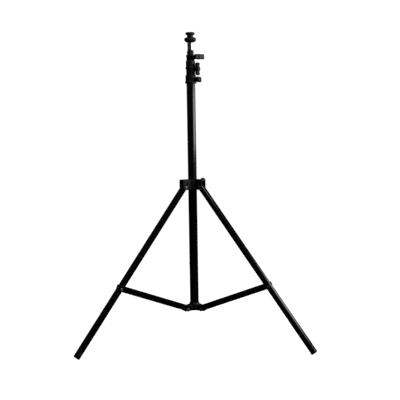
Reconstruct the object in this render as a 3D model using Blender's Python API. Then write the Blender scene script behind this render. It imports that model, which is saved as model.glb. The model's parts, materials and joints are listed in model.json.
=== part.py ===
"""Folding stand for a ring light: four telescopic sections, three legs and a threaded head.

The column stands on the Z axis of the "stand" empty. Legs hang on a collar that slides on the
column, and channel braces tie them to the hub at its foot. Everything is in metres, +Z is up, the
floor is at z = 0 and the origin lies under the middle of the footprint.
"""

import math

import bmesh
import bpy
from mathutils import Matrix, Vector

MM = 0.001

# Clearance between pieces that touch, slide or turn in each other
GAP = 0.3 * MM

# Rounding of moulded edges, and how far a cutting tool runs past what it cuts
EDGE_BEVEL = 1.0 * MM
FINE_BEVEL = 0.8 * MM
CUT_PAST = 10.0 * MM
SMOOTH_BELOW = math.radians(35.0)

# Facets of round pieces
COLUMN_SIDES = 24
LEG_SIDES = 20
BOSS_SIDES = 16
PIN_SIDES = 10

# Telescopic tubes, each sliding in the one outside it
BASE_TUBE_RADIUS = 12.5 * MM
TUBE_WALL = 0.9 * MM
TUBE_PLAY = 0.6 * MM
SECTION_NAMES = ("base", "second", "third", "top")
TUBE_RADII = [BASE_TUBE_RADIUS - step * (TUBE_WALL + TUBE_PLAY) for step in range(len(SECTION_NAMES))]
GUIDE_FLANGE = 4.0 * MM
GUIDE_SHANK = 6.0 * MM
TOP_TUBE_STANDS_OUT = 0.7 * MM

# Clamp collars, stacked on the base tube when the column is down
FIRST_COLLAR_FOOT = 735.4 * MM
SHOE_RADIUS = 3.2 * MM
INSERT_RADIUS = 4.5 * MM
SCREW_RADIUS = 3.0 * MM
SCREW_IN_KNOB = 6.0 * MM

# Wing knobs
WING_LENGTH = 36.0 * MM
WING_ROOT_WIDTH = 12.5 * MM
WING_TIP_WIDTH = 15.5 * MM
WING_ROOT_THICKNESS = 8.0 * MM
WING_TIP_THICKNESS = 10.4 * MM
WING_BEHIND = 0.8 * MM
WING_SWEEP = 1.6 * MM
WING_END = 2.6 * MM
KNOB_HUB_RADIUS = 8.0 * MM
KNOB_DEPTH = 12.0 * MM
KNOB_CROWN = 1.6 * MM
WING_STEPS = 3

# Head: chrome stud, locking ring and plate
STUD_LENGTH = 22.7 * MM
STUD_PLUG_LENGTH = 24.0 * MM
STUD_BORE_DEPTH = 18.0 * MM
HEAD_SHANK_RADIUS = 5.0 * MM
RING_RADIUS = 17.0 * MM
RING_HEIGHT = 13.7 * MM
RING_FLUTES = 18
FLUTE_DEPTH = 0.7 * MM
HEAD_NECK_RADIUS = 8.8 * MM
HEAD_NECK_HEIGHT = 6.7 * MM
HEAD_PLATE_RADIUS = 13.2 * MM
HEAD_PLATE_THICKNESS = 7.3 * MM

# Legs
LEG_AZIMUTHS = {"right": math.radians(-30.0), "rear": math.radians(90.0), "left": math.radians(210.0)}
LEG_SPREAD = math.radians(37.89)
LEG_LENGTH = 552.5 * MM
LEG_RADIUS = 9.5 * MM
LEG_WALL = 1.0 * MM
LEG_OVERHANG = 7.5 * MM
LEG_CAP = 2.2 * MM
LEG_CAP_CHAMFER = 1.5 * MM
LEG_PLUG_LENGTH = 26.0 * MM
FOOT_LENGTH = 22.0 * MM
FOOT_PLUG_LENGTH = 20.0 * MM
FOOT_ROUNDING = 3.0 * MM
BUSH_RADIUS = 4.0 * MM

# Pins and rivets
PIVOT_RADIUS = 28.0 * MM
PIN_RADIUS = 2.5 * MM
PIN_HEAD_RADIUS = 4.3 * MM
PIN_HEAD_THICKNESS = 1.5 * MM
PIN_HEAD_CROWN = 0.5 * MM

# Sliding leg collar
LEG_COLLAR_WALL = 4.5 * MM
LEG_COLLAR_HEIGHT = 26.0 * MM
LEG_COLLAR_BELOW_PIN = 7.6 * MM
LEG_COLLAR_WEB = 4.0 * MM
CLEVIS_CHEEK = 2.0 * MM
CLEVIS_REACH = 33.5 * MM
CLEVIS_CORNER = 4.0 * MM
CLEVIS_SLOPE = 5.0 * MM
LEG_KNOB_ABOVE_FOOT = 13.0 * MM

# Lower hub
HUB_PIN_HEIGHT = 89.3 * MM
HUB_BELOW_PIN = 5.1 * MM
HUB_FLOOR = 3.8 * MM
HUB_HEIGHT = 21.8 * MM
HUB_WALL = 3.0 * MM
HUB_SHOULDER = 7.0 * MM
HUB_TAPER = 1.5 * MM
LUG_ROUNDING = 9.0 * MM

# Braces: channels with their web on top, over the leg tube
BRACE_PIN_ON_LEG = 338.8 * MM
BRACE_CHEEK = 1.5 * MM
BRACE_WEB = 1.2 * MM
BRACE_BELOW_PIN = 5.4 * MM
BRACE_PAST_PIN = 6.0 * MM
BRACE_WEB_FROM_HUB = 12.0 * MM
BRACE_WEB_FROM_LEG = 46.0 * MM
BRACE_CORNER = 3.5 * MM

# Places that follow from the sizes above
SLOT_WIDTH = 2 * (LEG_RADIUS + GAP)
LEG_PIN_HEIGHT = ((LEG_LENGTH - FOOT_ROUNDING) * math.cos(LEG_SPREAD)
                  + (LEG_RADIUS - FOOT_ROUNDING) * math.sin(LEG_SPREAD) + FOOT_ROUNDING)
BRACE_RISE = LEG_PIN_HEIGHT - BRACE_PIN_ON_LEG * math.cos(LEG_SPREAD) - HUB_PIN_HEIGHT
BRACE_REACH = BRACE_PIN_ON_LEG * math.sin(LEG_SPREAD)
BRACE_LENGTH = math.hypot(BRACE_RISE, BRACE_REACH)
BRACE_SPREAD = math.atan2(BRACE_REACH, BRACE_RISE)
FOOT_CENTRE_REACH = PIVOT_RADIUS + LEG_LENGTH * math.sin(LEG_SPREAD)
REAR_REACH = FOOT_CENTRE_REACH + LEG_RADIUS * math.cos(LEG_SPREAD)
FRONT_REACH = (FOOT_CENTRE_REACH / 2
               + LEG_RADIUS * math.sqrt(0.25 * math.cos(LEG_SPREAD) ** 2 + 0.75))
COLUMN_SETBACK = (FRONT_REACH - REAR_REACH) / 2
HUB_FOOT = HUB_PIN_HEIGHT - HUB_BELOW_PIN
SLOT_BACK = (PIVOT_RADIUS - GAP - GAP
             - math.hypot(LEG_RADIUS, LEG_OVERHANG - LEG_CAP_CHAMFER))


class Clamp:
    """One clamp collar of the column: where it sits, its outline, and how its knob stands.

    The outline lists (radius beyond the tube it is fixed to, height above its foot) from the foot up.
    """

    def __init__(self, outline, socket_depth, knob_height, boss_radius, boss_face, knob_face,
                 azimuth, turn):
        self.outline = outline
        self.height = outline[-1][1]
        self.socket_depth = socket_depth
        self.knob_height = knob_height
        self.boss_radius = boss_radius
        self.boss_face = boss_face
        self.knob_face = knob_face
        self.azimuth = math.radians(azimuth)
        self.turn = math.radians(turn)


CLAMPS = {
    "lower": Clamp(
        outline=[(2.9 * MM, 0.0), (3.9 * MM, 1.2 * MM), (3.9 * MM, 5.0 * MM), (2.5 * MM, 6.6 * MM),
                 (2.5 * MM, 23.2 * MM), (1.1 * MM, 25.0 * MM)],
        socket_depth=20.9 * MM, knob_height=11.3 * MM, boss_radius=7.2 * MM,
        boss_face=4.5 * MM, knob_face=4.8 * MM, azimuth=-12.0, turn=90.0),
    "middle": Clamp(
        outline=[(1.4 * MM, 0.0), (1.9 * MM, 0.8 * MM), (1.9 * MM, 15.5 * MM), (3.9 * MM, 17.0 * MM),
                 (3.9 * MM, 20.0 * MM), (2.4 * MM, 21.5 * MM), (2.4 * MM, 38.2 * MM),
                 (1.4 * MM, 39.7 * MM)],
        socket_depth=35.3 * MM, knob_height=15.3 * MM, boss_radius=7.2 * MM,
        boss_face=5.9 * MM, knob_face=6.2 * MM, azimuth=-30.0, turn=0.0),
    "upper": Clamp(
        outline=[(1.3 * MM, 0.0), (1.9 * MM, 0.8 * MM), (1.9 * MM, 9.8 * MM), (3.0 * MM, 10.6 * MM),
                 (3.0 * MM, 15.3 * MM), (0.0, 16.8 * MM), (0.0, 27.0 * MM), (-0.4 * MM, 27.6 * MM)],
        socket_depth=15.3 * MM, knob_height=8.6 * MM, boss_radius=6.4 * MM,
        boss_face=8.0 * MM, knob_face=19.0 * MM, azimuth=-45.0, turn=78.0),
}
LEG_KNOB_AZIMUTH = math.radians(30.0)
LEG_KNOB_TURN = math.radians(-38.0)
LEG_KNOB_BOSS_RADIUS = 7.2 * MM
LEG_KNOB_BOSS_FACE = 28.7 * MM


def clear_scene():
    """Remove every object, so that only the stand is in the file."""
    for old in list(bpy.data.objects):
        bpy.data.objects.remove(old, do_unlink=True)


def finish(name, colour, roughness, metallic):
    """Principled material of one colour."""
    made = bpy.data.materials.new(name)
    made.use_nodes = True
    shader = made.node_tree.nodes["Principled BSDF"]
    shader.inputs["Base Color"].default_value = (*colour, 1.0)
    shader.inputs["Roughness"].default_value = roughness
    shader.inputs["Metallic"].default_value = metallic
    return made


def empty(name, parent=None, location=(0.0, 0.0, 0.0), turn=Matrix.Identity(3)):
    """Empty that marks the frame of a moving body."""
    made = bpy.data.objects.new(name, None)
    bpy.context.scene.collection.objects.link(made)
    made.empty_display_size = 20.0 * MM
    made.parent = parent
    made.location = location
    made.rotation_euler = turn.to_euler()
    return made


def solid(name, shape):
    """Object made of a bmesh, with its faces pointing out."""
    bmesh.ops.remove_doubles(shape, verts=shape.verts, dist=0.001 * MM)
    bmesh.ops.recalc_face_normals(shape, faces=shape.faces)
    mesh = bpy.data.meshes.new(name)
    shape.to_mesh(mesh)
    shape.free()
    made = bpy.data.objects.new(name, mesh)
    bpy.context.scene.collection.objects.link(made)
    return made


def place(piece, parent, material, location=(0.0, 0.0, 0.0), turn=Matrix.Identity(3)):
    """Give a finished piece its material, shading, parent and place."""
    piece.data.materials.clear()
    piece.data.materials.append(material)
    piece.data.shade_smooth()
    piece.data.set_sharp_from_angle(angle=SMOOTH_BELOW)
    piece.parent = parent
    piece.location = location
    piece.rotation_euler = turn.to_euler()
    return piece


def about_z(angle):
    """Rotation about the vertical."""
    return Matrix.Rotation(angle, 3, "Z")


def about_y(angle):
    """Rotation about the Y axis, the hinge axis of legs and braces in their own frames."""
    return Matrix.Rotation(angle, 3, "Y")


def turned(name, outline, sides, axis="Z"):
    """Body of revolution from (radius, height) points, about Z or laid along X or Y."""
    shape = bmesh.new()
    points = [shape.verts.new((radius, 0.0, height)) for radius, height in outline]
    edges = []
    for first, second in zip(points, points[1:] + points[:1]):
        if first.co.x > 0.0 or second.co.x > 0.0:
            edges.append(shape.edges.new((first, second)))
    bmesh.ops.spin(shape, geom=points + edges, cent=(0.0, 0.0, 0.0), axis=(0.0, 0.0, 1.0),
                   dvec=(0.0, 0.0, 0.0), angle=2 * math.pi, steps=sides, use_merge=True)
    if axis == "X":
        bmesh.ops.transform(shape, matrix=Matrix.Rotation(math.pi / 2, 4, "Y"), verts=shape.verts)
    if axis == "Y":
        bmesh.ops.transform(shape, matrix=Matrix.Rotation(-math.pi / 2, 4, "X"), verts=shape.verts)
    return solid(name, shape)


def rod(name, radius, start, end, sides, axis="Z"):
    """Plain round bar between two heights along its axis."""
    return turned(name, [(0.0, start), (radius, start), (radius, end), (0.0, end)], sides, axis)


def tube(name, outer, inner, start, end, sides, axis="Z"):
    """Plain tube between two heights along its axis."""
    return turned(name, [(outer, start), (outer, end), (inner, end), (inner, start)], sides, axis)


def plate(name, outline, width):
    """Plate with a side outline of (x, z) points, width thick and centred on y = 0."""
    shape = bmesh.new()
    side = shape.faces.new([shape.verts.new((x, -width / 2, z)) for x, z in outline])
    grown = bmesh.ops.extrude_face_region(shape, geom=[side])["geom"]
    corners = [part for part in grown if isinstance(part, bmesh.types.BMVert)]
    bmesh.ops.translate(shape, vec=(0.0, width, 0.0), verts=corners)
    return solid(name, shape)


def block(name, x_range, width, z_range):
    """Box between two x values and two z values, centred on y = 0."""
    (x_low, x_high), (z_low, z_high) = x_range, z_range
    return plate(name, [(x_low, z_low), (x_high, z_low), (x_high, z_high), (x_low, z_high)], width)


def arc(centre, radius, start, end, steps):
    """Points of an arc, angles in degrees from +X towards +Z."""
    points = []
    for step in range(steps + 1):
        angle = math.radians(start + (end - start) * step / steps)
        points.append((centre[0] + radius * math.cos(angle), centre[1] + radius * math.sin(angle)))
    return points


def combine(piece, operation, *tools):
    """Join tools to a piece, or cut them out of it, and remove them."""
    for tool in tools:
        step = piece.modifiers.new("Combine", "BOOLEAN")
        step.operation = operation
        step.solver = "EXACT"
        step.object = tool
        worked = piece.evaluated_get(bpy.context.evaluated_depsgraph_get())
        mesh = bpy.data.meshes.new_from_object(worked)
        piece.modifiers.clear()
        piece.data = mesh
        bpy.data.objects.remove(tool, do_unlink=True)
    return piece


def turned_mesh(piece, rotation):
    """Turn a piece's mesh about its origin."""
    piece.data.transform(rotation.to_4x4())
    return piece


def section_tube(name, level, bottom, top, parent, material, hole=None):
    """Tube of the column, with a hole for the clamp screw's shoe where a collar sits on it."""
    outer = TUBE_RADII[level]
    made = tube(name, outer, outer - TUBE_WALL, bottom, top, COLUMN_SIDES)
    if hole is not None:
        height, azimuth = hole
        drill = rod("drill", SHOE_RADIUS + GAP, 0.0, 2 * outer, PIN_SIDES, "X")
        turned_mesh(drill, about_z(azimuth))
        drill.data.transform(Matrix.Translation((0.0, 0.0, height)))
        combine(made, "DIFFERENCE", drill)
    return place(made, parent, material)


def guide_plug(name, level, tube_bottom, parent, material):
    """Plastic plug in a tube's lower end, whose flange slides in the tube outside it."""
    flange = TUBE_RADII[level - 1] - TUBE_WALL - GAP
    shank = TUBE_RADII[level] - TUBE_WALL - GAP
    chamfer = FINE_BEVEL
    outline = [
        (0.0, -GUIDE_FLANGE - GAP), (flange - chamfer, -GUIDE_FLANGE - GAP),
        (flange, -GUIDE_FLANGE - GAP + chamfer), (flange, -GAP), (shank, -GAP),
        (shank, GUIDE_SHANK), (0.0, GUIDE_SHANK)]
    return place(turned(name, outline, COLUMN_SIDES), parent, material, (0.0, 0.0, tube_bottom))


def screw_fittings(prefix, parent, height, azimuth, shoe, insert, materials):
    """Pressure shoe and threaded brass insert of one clamp, along its screw's axis."""
    turn = about_z(azimuth)
    pad = rod(f"{prefix}_pressure_shoe", SHOE_RADIUS, *shoe, PIN_SIDES, "X")
    place(pad, parent, materials["nylon"], (0.0, 0.0, height), turn)
    nut = tube(f"{prefix}_threaded_insert", INSERT_RADIUS, SCREW_RADIUS + GAP, *insert,
               BOSS_SIDES, "X")
    place(nut, parent, materials["brass"], (0.0, 0.0, height), turn)


def wing_section(share):
    """Closed loop of the wing at a share of its half length: (x outward, y across, z along)."""
    size = abs(share)
    half_width = (WING_ROOT_WIDTH + (WING_TIP_WIDTH - WING_ROOT_WIDTH) * size) / 2
    half_thickness = (WING_ROOT_THICKNESS
                      + (WING_TIP_THICKNESS - WING_ROOT_THICKNESS) * size) / 2
    if size == 1.0:
        half_width -= WING_END
        half_thickness -= WING_END
    middle = WING_BEHIND + WING_ROOT_THICKNESS / 2 + WING_SWEEP * size ** 2
    soft = 0.6
    loop = [(half_thickness, half_width * soft), (half_thickness * soft, half_width),
            (-half_thickness * soft, half_width), (-half_thickness, half_width * soft),
            (-half_thickness, -half_width * soft), (-half_thickness * soft, -half_width),
            (half_thickness * soft, -half_width), (half_thickness, -half_width * soft)]
    return [(middle + x, y, share * WING_LENGTH / 2) for x, y in loop]


def wing_knob(name):
    """Two-winged knob with its wing along Z and its screw axis along X, rear face at x = 0."""
    shares = [step / WING_STEPS for step in range(-WING_STEPS, WING_STEPS + 1)]
    shoulder = 1.0 - WING_END / (WING_LENGTH / 2)
    shares[0:1] = [-1.0, -shoulder]
    shares[-1:] = [shoulder, 1.0]
    shape = bmesh.new()
    loops = [[shape.verts.new(point) for point in wing_section(share)] for share in shares]
    for lower, upper in zip(loops, loops[1:]):
        for first in range(len(lower)):
            second = (first + 1) % len(lower)
            shape.faces.new((lower[first], lower[second], upper[second], upper[first]))
    shape.faces.new(loops[0])
    shape.faces.new(loops[-1])
    knob = solid(name, shape)
    hub_outline = [
        (0.0, 0.0), (KNOB_HUB_RADIUS - FINE_BEVEL, 0.0), (KNOB_HUB_RADIUS, FINE_BEVEL),
        (KNOB_HUB_RADIUS * 0.92, KNOB_DEPTH - KNOB_CROWN),
        (KNOB_HUB_RADIUS * 0.7, KNOB_DEPTH - KNOB_CROWN / 4), (0.0, KNOB_DEPTH)]
    combine(knob, "UNION", turned("hub", hub_outline, BOSS_SIDES, "X"))
    bore = rod("bore", SCREW_RADIUS + GAP, -SCREW_RADIUS, SCREW_IN_KNOB + GAP, PIN_SIDES, "X")
    return combine(knob, "DIFFERENCE", bore)


def knob_with_screw(prefix, parent, height, azimuth, turn, knob_face, screw_tip, materials):
    """Wing knob and its screw on an empty that lies on the screw's axis."""
    axis = empty(f"{prefix}_knob", parent, (0.0, 0.0, height),
                 about_z(azimuth) @ Matrix.Rotation(turn, 3, "X"))
    place(wing_knob(f"{prefix}_wing_knob"), axis, materials["plastic"], (knob_face, 0.0, 0.0))
    chamfer = FINE_BEVEL
    end = knob_face + SCREW_IN_KNOB
    outline = [(0.0, screw_tip), (SCREW_RADIUS - chamfer, screw_tip),
               (SCREW_RADIUS, screw_tip + chamfer), (SCREW_RADIUS, end), (0.0, end)]
    place(turned(f"{prefix}_knob_screw", outline, PIN_SIDES, "X"), axis, materials["steel"])


def clamp_collar(prefix, level, foot, clamp, parent, materials):
    """Collar fixed on one tube that clamps the tube inside it."""
    outer_tube = TUBE_RADII[level]
    inner_tube = TUBE_RADII[level + 1]
    profile = [(outer_tube + beyond, height) for beyond, height in clamp.outline]
    body = turned(f"{prefix}_clamp_collar", [(0.0, 0.0), *profile, (0.0, clamp.height)], COLUMN_SIDES)
    boss_face = outer_tube + clamp.boss_face
    bevel = FINE_BEVEL
    boss = turned("boss", [
        (0.0, 0.0), (clamp.boss_radius, 0.0), (clamp.boss_radius, boss_face - bevel),
        (clamp.boss_radius - bevel, boss_face), (0.0, boss_face)], BOSS_SIDES, "X")
    bore = turned("bore", [
        (0.0, -CUT_PAST), (outer_tube + GAP, -CUT_PAST), (outer_tube + GAP, clamp.socket_depth),
        (inner_tube + GAP, clamp.socket_depth), (inner_tube + GAP, clamp.height + CUT_PAST),
        (0.0, clamp.height + CUT_PAST)], COLUMN_SIDES)
    pocket = rod("pocket", INSERT_RADIUS + GAP, 0.0, boss_face + CUT_PAST, BOSS_SIDES, "X")
    for tool in (boss, pocket):
        turned_mesh(tool, about_z(clamp.azimuth))
        tool.data.transform(Matrix.Translation((0.0, 0.0, clamp.knob_height)))
    combine(body, "UNION", boss)
    combine(body, "DIFFERENCE", bore, pocket)
    place(body, parent, materials["plastic"], (0.0, 0.0, foot))
    height = foot + clamp.knob_height
    shoe = (inner_tube + GAP, outer_tube + GAP)
    screw_tip = shoe[1] + GAP
    screw_fittings(prefix, parent, height, clamp.azimuth, shoe, (screw_tip, boss_face - GAP), materials)
    knob_with_screw(prefix, parent, height, clamp.azimuth, clamp.turn, outer_tube + clamp.knob_face,
                    screw_tip, materials)


def column(stand, materials):
    """Four tubes, three clamp collars and the guide plugs between the tubes."""
    parent = stand
    foot = FIRST_COLLAR_FOOT
    bottom = HUB_FOOT + HUB_FLOOR + GAP
    for level, prefix in enumerate(("lower", "middle", "upper")):
        clamp = CLAMPS[prefix]
        top = foot + clamp.socket_depth - GAP
        section_tube(f"{SECTION_NAMES[level]}_tube", level, bottom, top, parent, materials["paint"],
                     (foot + clamp.knob_height, clamp.azimuth))
        clamp_collar(prefix, level, foot, clamp, parent, materials)
        below = bottom if level == 0 else bottom + GUIDE_SHANK
        bottom = below + 2 * GAP + GUIDE_FLANGE
        foot += clamp.height + GAP
        parent = empty(f"{SECTION_NAMES[level + 1]}_section", parent)
        guide_plug(f"{SECTION_NAMES[level + 1]}_guide_plug", level + 1, bottom, parent,
                   materials["nylon"])
    top = foot - GAP + TOP_TUBE_STANDS_OUT
    section_tube("top_tube", len(SECTION_NAMES) - 1, bottom, top, parent, materials["paint"])
    return parent, top + GAP


def stud(parent, foot, materials):
    """Chrome stud plugged into the top tube, with a threaded bore for the head's shank."""
    radius = TUBE_RADII[-1]
    plug = radius - TUBE_WALL - GAP
    bore = HEAD_SHANK_RADIUS + GAP
    chamfer = FINE_BEVEL
    outline = [
        (0.0, -STUD_PLUG_LENGTH), (plug, -STUD_PLUG_LENGTH), (plug, 0.0), (radius, 0.0),
        (radius, STUD_LENGTH - chamfer), (radius - chamfer, STUD_LENGTH), (bore, STUD_LENGTH),
        (bore, STUD_LENGTH - STUD_BORE_DEPTH), (0.0, STUD_LENGTH - STUD_BORE_DEPTH)]
    place(turned("stud", outline, COLUMN_SIDES), parent, materials["chrome"], (0.0, 0.0, foot))


def locking_ring(parent, foot, materials):
    """Fluted ring nut that turns on the head's shank and locks it against the stud."""
    bore = HEAD_SHANK_RADIUS + GAP
    outline = [
        (bore, 0.0), (0.68 * RING_RADIUS, 0.0), (0.9 * RING_RADIUS, 0.2 * RING_HEIGHT),
        (RING_RADIUS, 0.45 * RING_HEIGHT), (RING_RADIUS, 0.72 * RING_HEIGHT),
        (0.86 * RING_RADIUS, 0.9 * RING_HEIGHT), (0.72 * RING_RADIUS, RING_HEIGHT),
        (bore, RING_HEIGHT)]
    ring = turned("locking_ring", outline, 2 * RING_FLUTES)
    for vertex in ring.data.vertices:
        radius = math.hypot(vertex.co.x, vertex.co.y)
        share = math.atan2(vertex.co.y, vertex.co.x) / math.pi * RING_FLUTES
        if radius > RING_RADIUS - GAP and round(share) % 2 == 1:
            vertex.co.x *= 1.0 - FLUTE_DEPTH / radius
            vertex.co.y *= 1.0 - FLUTE_DEPTH / radius
    axis = empty("ring_axis", parent, (0.0, 0.0, foot))
    place(ring, axis, materials["plastic"])


def head(parent, foot, materials):
    """Plate, neck and shank of the head in one piece, its shank down through the locking ring."""
    shank = RING_HEIGHT + 2 * GAP + STUD_BORE_DEPTH - GAP
    top = HEAD_NECK_HEIGHT + HEAD_PLATE_THICKNESS
    bevel = FINE_BEVEL
    outline = [
        (0.0, -shank), (HEAD_SHANK_RADIUS - bevel, -shank), (HEAD_SHANK_RADIUS, bevel - shank),
        (HEAD_SHANK_RADIUS, 0.0), (HEAD_NECK_RADIUS, 0.0), (HEAD_NECK_RADIUS, HEAD_NECK_HEIGHT - bevel),
        (HEAD_NECK_RADIUS + bevel, HEAD_NECK_HEIGHT), (HEAD_PLATE_RADIUS - bevel, HEAD_NECK_HEIGHT),
        (HEAD_PLATE_RADIUS, HEAD_NECK_HEIGHT + bevel), (HEAD_PLATE_RADIUS, top - bevel),
        (HEAD_PLATE_RADIUS - bevel, top), (0.0, top)]
    place(turned("head_plate", outline, COLUMN_SIDES), parent, materials["plastic"],
          (0.0, 0.0, foot))


def across_leg(azimuth):
    """Place of a leg's pin in its collar or hub, at the pivot radius."""
    return Vector((PIVOT_RADIUS * math.cos(azimuth), PIVOT_RADIUS * math.sin(azimuth), 0.0))


def headed_pins(kind, height, half_grip, parent, material):
    """Three pins with a head at each end, one across each leg's plane."""
    under_head = half_grip + GAP
    over_head = under_head + PIN_HEAD_THICKNESS
    outline = [
        (0.0, -over_head), (PIN_HEAD_RADIUS - PIN_HEAD_CROWN, -over_head),
        (PIN_HEAD_RADIUS, PIN_HEAD_CROWN - over_head), (PIN_HEAD_RADIUS, -under_head),
        (PIN_RADIUS, -under_head), (PIN_RADIUS, under_head), (PIN_HEAD_RADIUS, under_head),
        (PIN_HEAD_RADIUS, over_head - PIN_HEAD_CROWN),
        (PIN_HEAD_RADIUS - PIN_HEAD_CROWN, over_head), (0.0, over_head)]
    for side, azimuth in LEG_AZIMUTHS.items():
        pin = turned(f"{side}_{kind}_pin", outline, PIN_SIDES, "Y")
        location = across_leg(azimuth) + Vector((0.0, 0.0, height))
        place(pin, parent, material, location, about_z(azimuth))


def lower_hub(stand, materials):
    """Hub fixed at the foot of the base tube, with a lug for each brace."""
    outer = BASE_TUBE_RADIUS + HUB_WALL
    bevel = EDGE_BEVEL
    hub = turned("lower_hub", [
        (0.0, 0.0), (outer - bevel, 0.0), (outer, bevel), (outer, HUB_HEIGHT - HUB_SHOULDER),
        (outer - HUB_TAPER, HUB_HEIGHT - bevel), (outer - HUB_TAPER - bevel, HUB_HEIGHT),
        (0.0, HUB_HEIGHT)], COLUMN_SIDES)
    pin = (PIVOT_RADIUS, HUB_BELOW_PIN)
    under = -math.degrees(math.asin(HUB_BELOW_PIN / LUG_ROUNDING))
    lug_top = HUB_BELOW_PIN + LUG_ROUNDING
    side = [(0.0, 0.0), *arc(pin, LUG_ROUNDING, under, 90.0, 8), (0.0, lug_top)]
    for azimuth in LEG_AZIMUTHS.values():
        combine(hub, "UNION", turned_mesh(plate("lug", side, 2 * LEG_RADIUS), about_z(azimuth)))
    bore = rod("bore", BASE_TUBE_RADIUS + GAP, HUB_FLOOR, 2 * HUB_HEIGHT, COLUMN_SIDES)
    combine(hub, "DIFFERENCE", bore)
    for azimuth in LEG_AZIMUTHS.values():
        drill = rod("drill", PIN_RADIUS + GAP, -LEG_RADIUS - PIN_RADIUS, LEG_RADIUS + PIN_RADIUS,
                    PIN_SIDES, "Y")
        drill.data.transform(Matrix.Translation((pin[0], 0.0, pin[1])))
        combine(hub, "DIFFERENCE", turned_mesh(drill, about_z(azimuth)))
    place(hub, stand, materials["plastic"], (0.0, 0.0, HUB_FOOT))
    headed_pins("hub", HUB_PIN_HEIGHT, SLOT_WIDTH / 2 + BRACE_CHEEK, stand, materials["steel"])


def leg_collar(slider, materials):
    """Sliding collar with a clevis for each leg and a boss for its clamp knob."""
    outer = BASE_TUBE_RADIUS + LEG_COLLAR_WALL
    bevel = EDGE_BEVEL
    height = LEG_COLLAR_HEIGHT
    collar = turned("leg_collar", [
        (0.0, 0.0), (outer - bevel, 0.0), (outer, bevel), (outer, height - bevel),
        (outer - bevel, height), (0.0, height)], COLUMN_SIDES)
    clevis_width = SLOT_WIDTH + 2 * CLEVIS_CHEEK
    corner = (CLEVIS_REACH - CLEVIS_CORNER, CLEVIS_CORNER)
    clevis = [(0.0, 0.0), *arc(corner, CLEVIS_CORNER, -90.0, 0.0, 3),
              (CLEVIS_REACH, height - CLEVIS_SLOPE), (CLEVIS_REACH - CLEVIS_SLOPE, height),
              (0.0, height)]
    reach = 2 * CLEVIS_REACH
    for azimuth in LEG_AZIMUTHS.values():
        combine(collar, "UNION", turned_mesh(plate("clevis", clevis, clevis_width), about_z(azimuth)))
    boss = turned("boss", [
        (0.0, 0.0), (LEG_KNOB_BOSS_RADIUS, 0.0), (LEG_KNOB_BOSS_RADIUS, LEG_KNOB_BOSS_FACE - bevel),
        (LEG_KNOB_BOSS_RADIUS - bevel, LEG_KNOB_BOSS_FACE), (0.0, LEG_KNOB_BOSS_FACE)],
        BOSS_SIDES, "X")
    pocket = rod("pocket", INSERT_RADIUS + GAP, 0.0, reach, BOSS_SIDES, "X")
    for tool in (boss, pocket):
        tool.data.transform(Matrix.Translation((0.0, 0.0, LEG_KNOB_ABOVE_FOOT)))
        turned_mesh(tool, about_z(LEG_KNOB_AZIMUTH))
    combine(collar, "UNION", boss)
    combine(collar, "DIFFERENCE", rod("bore", BASE_TUBE_RADIUS + GAP, -height, 2 * height, COLUMN_SIDES))
    combine(collar, "DIFFERENCE", pocket)
    for azimuth in LEG_AZIMUTHS.values():
        slot = block("slot", (SLOT_BACK, reach), SLOT_WIDTH, (-height, height - LEG_COLLAR_WEB))
        combine(collar, "DIFFERENCE", turned_mesh(slot, about_z(azimuth)))
        half = clevis_width / 2 + PIN_RADIUS
        drill = rod("drill", PIN_RADIUS + GAP, -half, half, PIN_SIDES, "Y")
        drill.data.transform(Matrix.Translation((PIVOT_RADIUS, 0.0, LEG_COLLAR_BELOW_PIN)))
        combine(collar, "DIFFERENCE", turned_mesh(drill, about_z(azimuth)))
    place(collar, slider, materials["plastic"], (0.0, 0.0, -LEG_COLLAR_BELOW_PIN))
    headed_pins("leg", 0.0, clevis_width / 2, slider, materials["steel"])
    knob_height = LEG_KNOB_ABOVE_FOOT - LEG_COLLAR_BELOW_PIN
    shoe = (BASE_TUBE_RADIUS + GAP, BASE_TUBE_RADIUS + GAP + SHOE_RADIUS)
    screw_tip = shoe[1] + GAP
    screw_fittings("leg_collar", slider, knob_height, LEG_KNOB_AZIMUTH, shoe,
                   (screw_tip, LEG_KNOB_BOSS_FACE - GAP), materials)
    knob_with_screw("leg_collar", slider, knob_height, LEG_KNOB_AZIMUTH, LEG_KNOB_TURN,
                    LEG_KNOB_BOSS_FACE + GAP, screw_tip, materials)


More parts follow.
